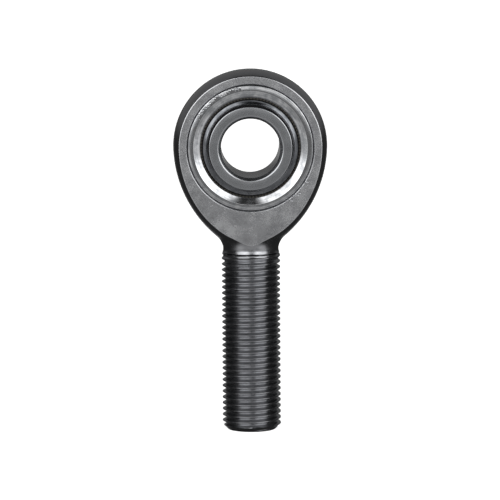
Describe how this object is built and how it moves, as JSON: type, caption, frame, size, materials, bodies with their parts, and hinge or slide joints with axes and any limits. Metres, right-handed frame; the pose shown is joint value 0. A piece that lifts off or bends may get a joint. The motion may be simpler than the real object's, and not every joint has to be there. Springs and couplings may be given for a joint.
{
  "type": "rod end bearing",
  "caption": "Male rod end: a right-hand threaded shank below a round eye, milled flat, whose race and liner hold a steel ball with a through bore that turns and tilts.",
  "frame": {"origin": "centre of the ball, halfway along its bore", "axes": "+Z from the shank to the crown of the eye, so the shank points along -Z; +Y along the ball's bore; +X to the right, seen from -Y"},
  "size_m": [0.0332, 0.0158, 0.0786],
  "materials": {
    "plated_steel": "bright zinc plated over a turned, milled and rolled surface",
    "turned_steel": "fine turned, staked at its rim",
    "liner_fabric": "dark woven low-friction fabric in resin",
    "hard_chrome": "ground and polished hard chrome on the sphere, fine ground on the faces"
  },
  "bodies": {
    "rod_end": {"rod_end_body": "plated_steel", "outer_race": "turned_steel"},
    "liner": {"ptfe_liner": "liner_fabric"},
    "ball": {"ball": "hard_chrome"}
  },
  "joints": [
    {"name": "bore_spin", "type": "hinge", "parent": "rod_end", "child": "liner", "pos_m": [0, 0, 0], "axis": [0, 1, 0], "continuous": true},
    {"name": "ball_tilt", "type": "hinge", "parent": "liner", "child": "ball", "pos_m": [0, 0, 0], "axis": [1, 0, 0], "range_deg": [-12, 12]}
  ]
}
